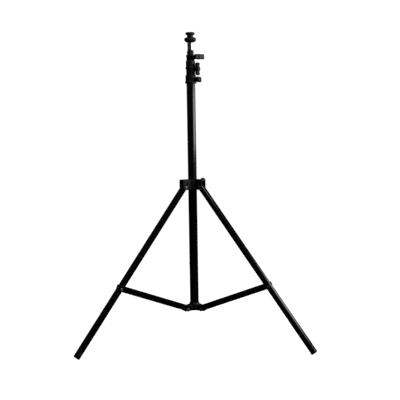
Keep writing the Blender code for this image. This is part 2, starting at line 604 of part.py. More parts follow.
def leg(side, azimuth, slider, materials):
    """Leg tube with its top plug, brace bush and rubber foot, hanging along -Z from its pin."""
    hinge = empty(f"{side}_leg", slider, across_leg(azimuth),
                  about_z(azimuth) @ about_y(-LEG_SPREAD))
    inner = LEG_RADIUS - LEG_WALL
    core = inner - GAP
    pin_bore = PIN_RADIUS + GAP
    half = 2 * LEG_RADIUS
    tube_top = LEG_OVERHANG - LEG_CAP - GAP
    foot_top = FOOT_LENGTH - LEG_LENGTH
    pipe = tube(f"{side}_leg_tube", LEG_RADIUS, inner, foot_top + GAP, tube_top, LEG_SIDES)
    bush_hole = rod("hole", BUSH_RADIUS + GAP, -half, half, PIN_SIDES, "Y")
    bush_hole.data.transform(Matrix.Translation((0.0, 0.0, -BRACE_PIN_ON_LEG)))
    combine(pipe, "DIFFERENCE", rod("hole", pin_bore, -half, half, PIN_SIDES, "Y"), bush_hole)
    place(pipe, hinge, materials["paint"])
    plug_end = LEG_OVERHANG - LEG_PLUG_LENGTH
    plug = turned(f"{side}_leg_top_plug", [
        (0.0, plug_end), (core, plug_end), (core, tube_top + GAP), (LEG_RADIUS, tube_top + GAP),
        (LEG_RADIUS, LEG_OVERHANG - LEG_CAP_CHAMFER), (LEG_RADIUS - LEG_CAP_CHAMFER, LEG_OVERHANG),
        (0.0, LEG_OVERHANG)], LEG_SIDES)
    combine(plug, "DIFFERENCE", rod("hole", pin_bore, -half, half, PIN_SIDES, "Y"))
    place(plug, hinge, materials["plastic"])
    bush_end = LEG_RADIUS - GAP / 2
    bush = rod(f"{side}_brace_bush", BUSH_RADIUS, -bush_end, bush_end, PIN_SIDES, "Y")
    place(bush, hinge, materials["steel"], (0.0, 0.0, -BRACE_PIN_ON_LEG))
    sole = -LEG_LENGTH
    foot_curve = arc((LEG_RADIUS - FOOT_ROUNDING, sole + FOOT_ROUNDING), FOOT_ROUNDING, -90.0, 0.0, 2)
    foot = turned(f"{side}_rubber_foot", [
        (0.0, sole), *foot_curve, (LEG_RADIUS, foot_top), (core, foot_top),
        (core, foot_top + FOOT_PLUG_LENGTH), (0.0, foot_top + FOOT_PLUG_LENGTH)], LEG_SIDES)
    place(foot, hinge, materials["rubber"])


def brace(side, azimuth, stand, materials):
    """Channel brace along +Z from its hub pin, web towards -X, with the two rivets at its far end."""
    hinge = empty(f"{side}_brace", stand, across_leg(azimuth) + Vector((0.0, 0.0, HUB_PIN_HEIGHT)),
                  about_z(azimuth) @ about_y(BRACE_SPREAD))
    web_inside = -SLOT_WIDTH / 2
    web_outside = web_inside - BRACE_WEB
    low = -BRACE_PAST_PIN
    high = BRACE_LENGTH + BRACE_PAST_PIN
    edge = BRACE_BELOW_PIN
    corner = BRACE_CORNER
    outline = [
        *arc((web_outside + corner, low + corner), corner, 180.0, 270.0, 3),
        *arc((edge - corner, low + corner), corner, 270.0, 360.0, 3),
        *arc((edge - corner, high - corner), corner, 0.0, 90.0, 3),
        (web_outside + EDGE_BEVEL, high), (web_outside, high - EDGE_BEVEL)]
    channel = plate(f"{side}_brace_channel", outline, SLOT_WIDTH + 2 * BRACE_CHEEK)
    inside = block("inside", (web_inside, edge + CUT_PAST), SLOT_WIDTH,
                   (low - CUT_PAST, high + CUT_PAST))
    hub_end = block("hub_end", (web_outside - CUT_PAST, edge), SLOT_WIDTH,
                    (low - CUT_PAST, BRACE_WEB_FROM_HUB))
    leg_end = block("leg_end", (web_outside - CUT_PAST, edge), SLOT_WIDTH,
                    (BRACE_LENGTH - BRACE_WEB_FROM_LEG, high + CUT_PAST))
    combine(channel, "DIFFERENCE", inside, hub_end, leg_end)
    for height in (0.0, BRACE_LENGTH):
        hole = rod("hole", PIN_RADIUS + GAP, -SLOT_WIDTH, SLOT_WIDTH, PIN_SIDES, "Y")
        hole.data.transform(Matrix.Translation((0.0, 0.0, height)))
        combine(channel, "DIFFERENCE", hole)
    place(channel, hinge, materials["paint"])
    inner_end = SLOT_WIDTH / 2
    under_head = inner_end + BRACE_CHEEK + GAP
    over_head = under_head + PIN_HEAD_THICKNESS
    outline = [
        (0.0, inner_end), (PIN_RADIUS, inner_end), (PIN_RADIUS, under_head),
        (PIN_HEAD_RADIUS, under_head), (PIN_HEAD_RADIUS, over_head - PIN_HEAD_CROWN),
        (PIN_HEAD_RADIUS - PIN_HEAD_CROWN, over_head), (0.0, over_head)]
    for end, half_turn in (("first", 0.0), ("second", math.pi)):
        rivet = turned(f"{side}_brace_{end}_rivet", outline, PIN_SIDES, "Y")
        place(rivet, hinge, materials["steel"], (0.0, 0.0, BRACE_LENGTH), about_z(half_turn))


def build_stand():
    """Build the whole stand."""
    clear_scene()
    materials = {
        "paint": finish("black_gloss_paint", (0.010, 0.010, 0.011), 0.22, 0.0),
        "plastic": finish("black_moulded_plastic", (0.014, 0.014, 0.015), 0.42, 0.0),
        "chrome": finish("chrome", (0.78, 0.79, 0.80), 0.08, 1.0),
        "steel": finish("bright_steel", (0.56, 0.57, 0.58), 0.28, 1.0),
        "brass": finish("brass", (0.62, 0.45, 0.20), 0.32, 1.0),
        "nylon": finish("dark_nylon", (0.05, 0.05, 0.055), 0.5, 0.0),
        "rubber": finish("black_rubber", (0.016, 0.016, 0.016), 0.85, 0.0),
    }
    stand = empty("stand", location=(0.0, COLUMN_SETBACK, 0.0))
    lower_hub(stand, materials)
    top_section, stud_foot = column(stand, materials)
    stud(top_section, stud_foot, materials)
    ring_foot = stud_foot + STUD_LENGTH + GAP
    locking_ring(top_section, ring_foot, materials)
    head(top_section, ring_foot + RING_HEIGHT + GAP, materials)
    slider = empty("leg_slider", stand, (0.0, 0.0, LEG_PIN_HEIGHT))
    leg_collar(slider, materials)
    for side, azimuth in LEG_AZIMUTHS.items():
        leg(side, azimuth, slider, materials)
        brace(side, azimuth, stand, materials)


build_stand()
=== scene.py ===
"""Looks of a folding ring light stand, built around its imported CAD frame."""

import json
import math

import bpy
from bpy.props import FloatProperty, FloatVectorProperty, IntProperty, PointerProperty
from mathutils import Matrix, Vector


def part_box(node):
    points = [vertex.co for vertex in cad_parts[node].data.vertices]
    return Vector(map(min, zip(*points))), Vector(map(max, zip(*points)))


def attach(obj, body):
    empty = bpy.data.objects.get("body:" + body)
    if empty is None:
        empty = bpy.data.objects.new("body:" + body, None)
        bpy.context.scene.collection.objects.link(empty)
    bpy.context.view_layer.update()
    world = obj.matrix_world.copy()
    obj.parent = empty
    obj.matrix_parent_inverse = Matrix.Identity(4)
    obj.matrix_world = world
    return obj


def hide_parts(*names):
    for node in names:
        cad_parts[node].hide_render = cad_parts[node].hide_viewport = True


bl_info = {
    "name": "Ring Light Stand",
    "version": (1, 0, 0),
    "blender": (4, 5, 0),
    "location": "3D View > Sidebar > Stand",
    "description": "Dresses a folding light stand: tubes, collars, knobs, legs, head and studio",
    "category": "Object",
}

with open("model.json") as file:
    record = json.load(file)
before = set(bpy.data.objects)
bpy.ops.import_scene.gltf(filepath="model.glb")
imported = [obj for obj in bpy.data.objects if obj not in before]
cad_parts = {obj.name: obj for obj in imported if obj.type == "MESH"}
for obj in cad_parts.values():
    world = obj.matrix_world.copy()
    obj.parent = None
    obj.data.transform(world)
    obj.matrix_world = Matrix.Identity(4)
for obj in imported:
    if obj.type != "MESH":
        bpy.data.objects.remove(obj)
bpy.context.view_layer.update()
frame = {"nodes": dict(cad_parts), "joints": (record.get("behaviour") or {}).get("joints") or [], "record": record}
RECORD = frame["record"]
JOINTS = {joint["name"]: joint for joint in frame["joints"]}
SLOT_OF = {entry["node"]: entry["material_slot"] for entry in RECORD["subparts"]}
BODY_OF = {node: body for body, nodes in RECORD["behaviour"]["bodies"].items() for node in nodes}
SIDES = ("right", "rear", "left")
CLAMPS = ("lower", "middle", "upper", "leg_collar")
MM = 0.001
COLUMN_FOOT = Vector((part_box("base_tube")[0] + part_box("base_tube")[1]) / 2).xy.to_3d()
UP = Vector((0.0, 0.0, 1.0))

# Seam left between a piece and the one that it is pushed into
SEAM = 0.3 * MM

# Lathe work starts and stops at a small ring about its axis, as a share of the radius there
START_RING = 0.3
STOP_RING = 0.2

# Point on the column that the lights look at
LIGHT_AIM = Vector((0.0, COLUMN_FOOT.y, 0.5))

# Soft lights: place, width and height, watts
LIGHTS = {
    "right_panel": ((1.6, -0.35, 0.93), (1.9, 0.55), 13.4),
    "top_light": ((0.5, -0.9, 2.6), (0.8, 0.8), 7.0),
}

# Width of the camera's sensor in millimetres and of its frame in pixels
SENSOR = 36.0
FRAME_PIXELS = 400.0


class StandFinish(bpy.types.PropertyGroup):
    """Colours of the stand."""

    paint: FloatVectorProperty(name="Paint", description="Gloss paint on tubes and braces",
                               subtype="COLOR", default=(0.0035, 0.0035, 0.0038))
    plastic: FloatVectorProperty(name="Plastic", description="Moulded collars, hub and knobs",
                                 subtype="COLOR", default=(0.0130, 0.0130, 0.0138))
    rubber: FloatVectorProperty(name="Rubber", description="Feet",
                                subtype="COLOR", default=(0.0042, 0.0042, 0.0043))
    nylon: FloatVectorProperty(name="Nylon", description="Guide plugs and pressure shoes",
                               subtype="COLOR", default=(0.030, 0.030, 0.032))
    chrome: FloatVectorProperty(name="Chrome", description="Stud",
                                subtype="COLOR", default=(0.60, 0.605, 0.61))
    steel: FloatVectorProperty(name="Steel", description="Pins, rivets and screws",
                               subtype="COLOR", default=(0.32, 0.32, 0.32))
    # The brass default is far darker than plain brass: painted shade for the threaded inserts, which sit recessed
    # in the clamps.
    brass: FloatVectorProperty(name="Brass", description="Threaded inserts",
                               subtype="COLOR", default=(0.14, 0.105, 0.06))


class StandDetail(bpy.types.PropertyGroup):
    """Fine sizes that the CAD model leaves to the looks."""

    tube_wall: FloatProperty(name="Tube wall", description="Wall of the column's tubes",
                             unit="LENGTH", default=0.9 * MM)
    leg_wall: FloatProperty(name="Leg wall", description="Wall of the leg tubes",
                            unit="LENGTH", default=1.0 * MM)
    edge: FloatProperty(name="Edge rounding", description="Rounding of moulded edges",
                        unit="LENGTH", default=0.5 * MM)
    collar_rise: FloatProperty(name="Collar rise", description="Leg collar above its CAD top",
                               unit="LENGTH", default=3.0 * MM)
    cheek_reach: FloatProperty(name="Cheek reach", description="Leg collar cheeks past their CAD ends",
                               unit="LENGTH", default=2.8 * MM)
    sides: IntProperty(name="Sides", description="Facets round a turned piece", default=96)
    ring_flutes: IntProperty(name="Ring flutes", description="Flutes round the locking ring",
                             default=18)
    thread_pitch: FloatProperty(name="Thread pitch", description="Pitch of the clamp screws",
                                unit="LENGTH", default=1.0 * MM)
    knob_voxel: FloatProperty(name="Knob detail", description="Mesh size of the wing knobs",
                              unit="LENGTH", default=0.40 * MM)
    foot_grooves: IntProperty(name="Foot grooves", description="Grooves round a rubber foot",
                              default=3)


class StandStudio(bpy.types.PropertyGroup):
    """Camera and light."""

    distance: FloatProperty(name="Distance", description="Camera to column",
                            unit="LENGTH", default=2.1913)
    height: FloatProperty(name="Height", description="Camera above the floor",
                          unit="LENGTH", default=0.6395)
    focal_pixels: FloatProperty(name="Focal length", description="In pixels of a 400 pixel frame",
                                default=765.7)
    beside: FloatProperty(name="Beside", description="Camera to the left of the column's front",
                          unit="LENGTH", default=0.0134)
    yaw: FloatProperty(name="Yaw", description="Aim to the right, from straight ahead",
                       subtype="ANGLE", default=0.01645)
    roll: FloatProperty(name="Roll", description="Tilt of the frame",
                        subtype="ANGLE", default=0.0160)
    pitch: FloatProperty(name="Pitch", description="Aim below the horizon",
                         subtype="ANGLE", default=0.05591)
    rise_pixels: FloatProperty(name="Lens rise", description="In pixels of a 400 pixel frame",
                               default=40.0)
    backdrop: FloatProperty(name="Backdrop", description="Brightness of the white ground",
                            default=1.0)


class Value:
    """A shader number. Arithmetic on it adds Math nodes to its tree."""

    def __init__(self, tree, socket):
        self.tree = tree
        self.socket = socket

    def _maths(self, operation, first, second):
        node = self.tree.nodes.new("ShaderNodeMath")
        node.operation = operation
        for place, part in zip(node.inputs, (first, second)):
            if isinstance(part, Value):
                self.tree.links.new(part.socket, place)
            else:
                place.default_value = part
        return Value(self.tree, node.outputs[0])

    def __add__(self, other):
        return self._maths("ADD", self, other)

    def __sub__(self, other):
        return self._maths("SUBTRACT", self, other)

    def __rsub__(self, other):
        return self._maths("SUBTRACT", other, self)

    def __mul__(self, other):
        return self._maths("MULTIPLY", self, other)

    __radd__ = __add__
    __rmul__ = __mul__


class Shader:
    """One material's node tree with its Principled shader."""

    def __init__(self, name):
        self.material = bpy.data.materials.new(name)
        self.material.use_nodes = True
        self.tree = self.material.node_tree
        self.surface = self.tree.nodes["Principled BSDF"]
        self.place = self.node("ShaderNodeTexCoord").outputs["Object"]

    def node(self, kind, settings=None, **sockets):
        """A node with its settings made first, then the values or links of its sockets."""
        made = self.tree.nodes.new(kind)
        for name, setting in (settings or {}).items():
            setattr(made, name, setting)
        for name, value in sockets.items():
            self.feed(made.inputs[name.replace("_", " ")], value)
        return made

    def feed(self, socket, value):
        """Set a socket, or link it to a value or another node's output."""
        if isinstance(value, Value):
            value = value.socket
        if isinstance(value, bpy.types.NodeSocket):
            self.tree.links.new(value, socket)
        else:
            socket.default_value = value

    def noise(self, scale, detail=3.0, stretch=(1.0, 1.0, 1.0)):
        """Noise over the piece's own coordinates, from 0 to 1."""
        mapped = self.node("ShaderNodeMapping", Vector=self.place, Scale=stretch)
        made = self.node("ShaderNodeTexNoise", Vector=mapped.outputs[0], Scale=scale, Detail=detail)
        return Value(self.tree, made.outputs[0])

    def band(self, value, low, high):
        """A value stretched so that low becomes 0 and high 1, held inside that."""
        made = self.node("ShaderNodeMapRange", From_Min=low, From_Max=high, Value=value)
        return Value(self.tree, made.outputs[0])

    def blend(self, share, first, second):
        """Colour between two colours."""
        made = self.node("ShaderNodeMix", {"data_type": "RGBA"})
        self.feed(made.inputs[0], share)
        self.feed(made.inputs[6], (*first, 1.0))
        self.feed(made.inputs[7], (*second, 1.0))
        return made.outputs[2]

    def relief(self, height, depth):
        """Normal of a bump of the given depth."""
        return self.node("ShaderNodeBump", Height=height, Distance=depth, Strength=1.0).outputs[0]

    def dressed(self, colour, roughness, normal=None, metallic=0.0):
        """The material, once its surface has its colour, gloss, relief and metal."""
        self.feed(self.surface.inputs["Base Color"], colour)
        self.feed(self.surface.inputs["Roughness"], roughness)
        if normal is not None:
            self.feed(self.surface.inputs["Normal"], normal)
        self.surface.inputs["Metallic"].default_value = metallic
        return self.material


def times(colour, factor):
    """A colour times a factor, lighter above 1 and darker below it."""
    return [channel * factor for channel in colour]


def paint(look):
    """Gloss powder paint: orange peel, uneven gloss and fine handling marks along the tubes."""
    shader = Shader("gloss_black_paint")
    peel = shader.noise(scale=650.0, detail=2.0)
    cloud = shader.noise(scale=16.0, detail=4.0)
    streaks = shader.noise(scale=520.0, detail=2.0, stretch=(1.0, 1.0, 0.03))
    marks = shader.band(streaks, low=0.66, high=0.80)
    patches = shader.band(shader.noise(scale=9.0), low=0.50, high=0.70)
    scuffs = marks * patches
    clean, cloud_part, scuff_part, scuff_show = 0.13, 0.14, 0.20, 0.35
    shader.surface.inputs["Coat Weight"].default_value = 0.25
    shader.surface.inputs["Coat Roughness"].default_value = 0.08
    return shader.dressed(
        colour=shader.blend(scuffs * scuff_show, look.paint, times(look.paint, factor=7.0)),
        roughness=cloud * cloud_part + scuffs * scuff_part + clean,
        normal=shader.relief(peel, depth=0.03 * MM))


def plastic(look):
    """Moulded glass-filled nylon: fine spark grain, with a sheen that comes and goes."""
    shader = Shader("moulded_black_plastic")
    grain = shader.noise(scale=2300.0, detail=2.0)
    flow = shader.noise(scale=45.0, detail=4.0)
    pale = shader.band(flow, low=0.35, high=0.75)
    clean, flow_part, grain_part = 0.36, 0.16, 0.06
    return shader.dressed(
        colour=shader.blend(pale, look.plastic, times(look.plastic, factor=1.7)),
        roughness=flow * flow_part + grain * grain_part + clean,
        normal=shader.relief(grain, depth=0.05 * MM))


def chrome(look):
    """Plating hazed by handling, with faint turning marks round the stud."""
    shader = Shader("bright_chrome")
    rings = shader.noise(scale=1500.0, detail=2.0, stretch=(0.02, 0.02, 1.0))
    haze = shader.noise(scale=60.0, detail=3.0)
    clean, haze_part = 0.26, 0.06
    return shader.dressed(
        colour=shader.blend(haze, look.chrome, times(look.chrome, factor=0.93)),
        roughness=haze * haze_part + clean,
        normal=shader.relief(rings, depth=0.004 * MM),
        metallic=1.0)


def steel(look):
    """Zinc-plated steel, mottled in gloss."""
    shader = Shader("bright_zinc_steel")
    mottle = shader.noise(scale=700.0, detail=4.0)
    stain = shader.band(shader.noise(scale=240.0, detail=3.0), low=0.45, high=0.75)
    clean, mottle_part = 0.38, 0.18
    return shader.dressed(
        colour=shader.blend(stain, look.steel, times(look.steel, factor=0.72)),
        roughness=mottle * mottle_part + clean,
        normal=shader.relief(mottle, depth=0.010 * MM),
        metallic=1.0)


def brass(look):
    """Turned brass with darker tarnish in patches."""
    shader = Shader("turned_brass")
    tarnish = shader.noise(scale=300.0, detail=4.0)
    patches = shader.band(tarnish, low=0.4, high=0.8)
    clean, tarnish_part = 0.36, 0.2
    return shader.dressed(
        colour=shader.blend(patches, look.brass, times(look.brass, factor=0.55)),
        roughness=tarnish * tarnish_part + clean,
        metallic=1.0)


def nylon(look):
    """Natural dark nylon, slightly waxy."""
    shader = Shader("dark_nylon")
    cloud = shader.noise(scale=120.0, detail=3.0)
    clean, cloud_part = 0.42, 0.15
    return shader.dressed(
        colour=shader.blend(cloud, look.nylon, times(look.nylon, factor=1.4)),
        roughness=cloud * cloud_part + clean)


def rubber(look):
    """Matt rubber with fine pores and grey dust that gathers in patches."""
    shader = Shader("matt_rubber")
    pores = shader.noise(scale=1800.0, detail=3.0)
    dust = shader.band(shader.noise(scale=70.0, detail=5.0), low=0.52, high=0.78)
    clean, pore_part, dust_part, dust_show = 0.32, 0.14, 0.16, 0.4
    return shader.dressed(
        colour=shader.blend(dust * dust_show, look.rubber, times(look.rubber, factor=3.5)),
        roughness=pores * pore_part + dust * dust_part + clean,
        normal=shader.relief(pores, depth=0.08 * MM))


FINISHES = {
    "tube_paint": paint, "black_plastic": plastic, "stud_chrome": chrome, "bright_steel": steel,
    "brass": brass, "nylon": nylon, "foot_rubber": rubber,
}
MADE_FINISHES = {}


def finish_of(slot):
    """The material of a slot, made once."""
    if slot not in MADE_FINISHES:
        MADE_FINISHES[slot] = FINISHES[slot](bpy.context.scene.stand_finish)
    return MADE_FINISHES[slot]


def wear(piece, node):
    """Let a finished piece stand for a CAD node, with its body, slot and finish."""
    piece.name = f"{node}_look"
    piece.data.name = piece.name
    piece.data.materials.clear()
    piece.data.materials.append(finish_of(SLOT_OF[node]))
    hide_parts(node)
    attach(piece, BODY_OF[node])
    return piece


def alone(piece):
    """Make one object the only selected and active one."""
    bpy.ops.object.select_all(action="DESELECT")
    piece.select_set(True)
    bpy.context.view_layer.objects.active = piece
    return piece


def smooth(piece, angle=32.0):
    """Smooth shading that keeps edges sharper than an angle."""
    alone(piece)
    bpy.ops.object.shade_smooth_by_angle(angle=math.radians(angle))
    return piece


def applied(piece, kind, **settings):
    """Add a modifier with its settings and apply it."""
    alone(piece)
    step = piece.modifiers.new(kind.title(), kind)
    for name, setting in settings.items():
        setattr(step, name, setting)
    bpy.ops.object.modifier_apply(modifier=step.name)
    return piece


def laid(piece, matrix):
    """Move a piece to its place and put the place into its mesh."""
    alone(piece)
    piece.matrix_world = matrix
    bpy.ops.object.transform_apply(location=True, rotation=True, scale=True)
    return piece


def axis_frame(origin, direction, across=None):
    """Matrix whose Z runs along a direction, and whose X is as near across as it can be."""
    along = Vector(direction).normalized()
    side = Vector(across) if across is not None else along.orthogonal()
    side = (side - along * side.dot(along)).normalized()
    turn = Matrix((side, along.cross(side), along)).transposed().to_4x4()
    return Matrix.Translation(origin) @ turn


def corners(node):
    """World places of a CAD node's vertices."""
    shown = frame["nodes"][node]
    return [shown.matrix_world @ vertex.co for vertex in shown.data.vertices]


def middle_of(node):
    """Middle of a CAD node's box."""
    low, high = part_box(node)
    return (Vector(low) + Vector(high)) / 2


def reach(node, origin, direction):
    """How far a node runs along an axis, low and high, and its greatest radius about it."""
    along = Vector(direction).normalized()
    steps = [place - Vector(origin) for place in corners(node)]
    heights = [step.dot(along) for step in steps]
    radius = max((step - along * step.dot(along)).length for step in steps)
    return min(heights), max(heights), radius


def rounded(points, radius, steps=3):
    """An open outline whose corners between its ends are rounded."""
    most = 0.45  # share of an edge that one rounding may take
    outline = [points[0]]
    for before, corner, after in zip(points, points[1:], points[2:]):
        before, corner, after = Vector(before), Vector(corner), Vector(after)
        into, out = corner - before, after - corner
        start = corner - into.normalized() * min(radius, into.length * most)
        end = corner + out.normalized() * min(radius, out.length * most)
        for step in range(steps + 1):
            share = step / steps
            first = start.lerp(corner, share)
            outline.append(tuple(first.lerp(corner.lerp(end, share), share)))
    outline.append(points[-1])
    return outline


def drawn(sections, sides, hollow=False):
    """A circle drawn out section by section: (half x, half y, shift in x, height) for each."""
    weld = 0.001 * MM
    half_x, half_y, shift, height = sections[0]
    bpy.ops.object.select_all(action="DESELECT")
    bpy.ops.mesh.primitive_circle_add(vertices=sides, radius=1.0, location=(0.0, 0.0, 0.0),
                                      fill_type="NOTHING" if hollow else "NGON")
    piece = bpy.context.object
    bpy.ops.object.mode_set(mode="EDIT")
    bpy.ops.transform.resize(value=(half_x, half_y, 1.0), center_override=(0.0, 0.0, 0.0))
    bpy.ops.transform.translate(value=(shift, 0.0, height))
    for new_x, new_y, new_shift, new_height in sections[1:]:
        step = (new_shift - shift, 0.0, new_height - height)
        bpy.ops.mesh.extrude_region_move(TRANSFORM_OT_translate={"value": step})
        bpy.ops.transform.resize(value=(new_x / half_x, new_y / half_y, 1.0),
                                 center_override=(new_shift, 0.0, new_height))
        half_x, half_y, shift, height = new_x, new_y, new_shift, new_height
    bpy.ops.mesh.select_all(action="SELECT")
    bpy.ops.mesh.remove_doubles(threshold=weld)
    bpy.ops.mesh.normals_make_consistent(inside=False)
    bpy.ops.object.mode_set(mode="OBJECT")
    return piece


def turned(profile, place, sides=None, hollow=False):
    """Lathe work from (radius, height) points, laid on an axis."""
    sides = sides or bpy.context.scene.stand_detail.sides
    piece = drawn([(radius, radius, 0.0, height) for radius, height in profile], sides, hollow)
    return smooth(laid(piece, place))


def carve(piece, tool, operation="DIFFERENCE"):
    """Cut a tool out of a piece, or join it on, and remove the tool."""
    applied(piece, "BOOLEAN", operation=operation, solver="EXACT", object=tool)
    bpy.data.objects.remove(tool, do_unlink=True)
    return piece


def bored(piece, origin, direction, radius, half_length):
    """Cut a round hole through a piece, centred on an origin."""
    bpy.ops.object.select_all(action="DESELECT")
    bpy.ops.mesh.primitive_cylinder_add(vertices=32, radius=radius, depth=2 * half_length)
    return smooth(carve(piece, laid(bpy.context.object, axis_frame(origin, direction))))


def pipe(node, origin, direction, wall):
    """Tube with softly broken rims, as long and as wide as its CAD node."""
    low, high, radius = reach(node, origin, direction)
    inner = radius - wall
    rim = [(radius - wall / 2, low), (radius, low), (radius, high), (inner, high), (inner, low)]
    outline = rounded(rim + [rim[0]], radius=wall * 0.3, steps=2)
    return turned(outline, axis_frame(origin, direction), hollow=True)


def picked(piece, chosen):
    """Enter edit mode with only the vertices selected whose place passes a test."""
    alone(piece)
    bpy.ops.object.mode_set(mode="EDIT")
    bpy.ops.mesh.select_mode(type="VERT")
    bpy.ops.mesh.select_all(action="DESELECT")
    bpy.ops.object.mode_set(mode="OBJECT")
    for vertex in piece.data.vertices:
        vertex.select = bool(chosen(vertex.co))
    bpy.ops.object.mode_set(mode="EDIT")


def pulled(piece, chosen, step):
    """Move the vertices whose place passes a test, so that what hangs on them stretches."""
    picked(piece, chosen)
    bpy.ops.transform.translate(value=step)
    bpy.ops.object.mode_set(mode="OBJECT")


def softened(node, edge=None, reshape=None):
    """Copy of a CAD node, reshaped if asked, with its corners rounded as on a moulding."""
    weld, flat, sharp = 0.002 * MM, 1.0, 33.0
    source = frame["nodes"][node]
    piece = source.copy()
    piece.data = source.data.copy()
    piece.parent = None
    piece.matrix_world = source.matrix_world
    bpy.context.scene.collection.objects.link(piece)
    laid(piece, piece.matrix_world.copy())
    bpy.ops.object.mode_set(mode="EDIT")
    bpy.ops.mesh.select_all(action="SELECT")
    bpy.ops.mesh.remove_doubles(threshold=weld)
    bpy.ops.mesh.dissolve_limited(angle_limit=math.radians(flat))
    bpy.ops.object.mode_set(mode="OBJECT")
    if reshape:
        reshape(piece)
    width = edge or bpy.context.scene.stand_detail.edge
    applied(piece, "BEVEL", width=width, segments=2, limit_method="ANGLE",
            angle_limit=math.radians(sharp), use_clamp_overlap=True)
    return smooth(piece, sharp)


def leg_axis(side):
    """Pin place, direction down the leg and hinge axis of one leg."""
    hinge = JOINTS[f"{side}_leg_hinge"]
    across = Vector(hinge["axis"])
    spread = math.radians(hinge["range_deg"][1])
    outward = across.cross(UP)
    return Vector(hinge["pos_m"]), outward * math.sin(spread) - UP * math.cos(spread), across


def brace_axis(side):
    """Hub pin place, direction along the brace and hinge axis of one brace."""
    hinge = JOINTS[f"{side}_brace_hinge"]
    across = Vector(hinge["axis"])
    spread = math.radians(hinge["range_deg"][1])
    outward = -across.cross(UP)
    return Vector(hinge["pos_m"]), outward * math.sin(spread) + UP * math.cos(spread), across


class STAND_OT_tubes(bpy.types.Operator):
    """Column tubes, with the holes for the clamp shoes"""

    bl_idname = "stand.tubes"
    bl_label = "Column Tubes"

    def execute(self, context):
        wall = context.scene.stand_detail.tube_wall
        shoe_hole = 3.5 * MM
        clamps = {"base_tube": "lower", "second_tube": "middle", "third_tube": "upper"}
        for node in ("base_tube", "second_tube", "third_tube", "top_tube"):
            piece = pipe(node, COLUMN_FOOT, UP, wall)
            if node in clamps:
                screw = JOINTS[f"{clamps[node]}_knob_turn"]
                outward = Vector(screw["axis"])
                radius = reach(node, COLUMN_FOOT, UP)[2]
                centre = Vector((*COLUMN_FOOT.xy, screw["pos_m"][2])) + outward * radius
                bored(piece, centre, outward, shoe_hole, half_length=radius * 0.6)
            wear(piece, node)
        return {"FINISHED"}


class STAND_OT_mouldings(bpy.types.Operator):
    """Clamp collars, leg collar, hub, plugs, shoes and inserts"""

    bl_idname = "stand.mouldings"
    bl_label = "Collars and Hub"

    def squared(self, collar):
        """Draw the leg collar up, and its cheeks out past the pins to a square top corner."""
        detail = bpy.context.scene.stand_detail
        foot, top = (corner.z for corner in map(Vector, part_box("leg_collar")))
        lid, pin_eye, past_pin = 6.5 * MM, 3.4 * MM, 1.2 * MM
        slope_depth, slope_start, slope_lift = 6.0 * MM, 7.8 * MM, 4.0 * MM
        rim_depth, rim_reach = 0.5 * MM, 6.6 * MM
        pulled(collar, lambda place: place.z > top - lid, UP * detail.collar_rise)
        top += detail.collar_rise
        for side in SIDES:
            pin, _, across = leg_axis(side)
            outward = across.cross(UP)

            def end(place, low, beyond):
                """Whether a place is on this side's cheeks, outside the eye of the pin."""
                off = place - pin
                from_pin = (off - across * off.dot(across)).length
                return off.dot(outward) > beyond and from_pin > pin_eye and place.z > low

            pulled(collar, lambda place: end(place, foot - pin_eye, past_pin),
                   outward * detail.cheek_reach)
            pulled(collar, lambda place: end(place, top - slope_depth, slope_start),
                   UP * slope_lift)
            pulled(collar, lambda place: end(place, top - rim_depth, 0.0), outward * rim_reach)

    def shouldered(self, hub):
        """Join a sloping shoulder onto each lug, from the hub's barrel down to its pin."""
        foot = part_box("lower_hub")[0][2]
        # Distances from the column's axis, then heights above the hub's foot
        near, far, wide = 14.0 * MM, 31.0 * MM, 17.0 * MM
        low, high, end = 8.0 * MM, 17.2 * MM, 12.3 * MM
        for side in SIDES:
            _, _, across = brace_axis(side)
            bpy.ops.object.select_all(action="DESELECT")
            bpy.ops.mesh.primitive_cube_add(size=1.0)
            wedge = bpy.context.object
            laid(wedge, Matrix.Diagonal((far - near, wide, high - low, 1.0)))
            pulled(wedge, lambda place: place.x > 0.0 and place.z > 0.0, UP * (end - high))
            middle = axis_frame(COLUMN_FOOT + UP * foot, UP, -across.cross(UP))
            middle = middle @ Matrix.Translation(((near + far) / 2, 0.0, (low + high) / 2))
            carve(hub, laid(wedge, middle), "UNION")

    def execute(self, context):
        fine = 0.25 * MM
        for node in ("lower_clamp_collar", "middle_clamp_collar", "upper_clamp_collar"):
            wear(softened(node), node)
        wear(softened("lower_hub", reshape=self.shouldered), "lower_hub")
        wear(softened("leg_collar", reshape=self.squared), "leg_collar")
        for node in ("second_guide_plug", "third_guide_plug", "top_guide_plug"):
            wear(softened(node, fine), node)
        for prefix in CLAMPS:
            for kind in ("threaded_insert", "pressure_shoe"):
                wear(softened(f"{prefix}_{kind}", fine), f"{prefix}_{kind}")
        return {"FINISHED"}


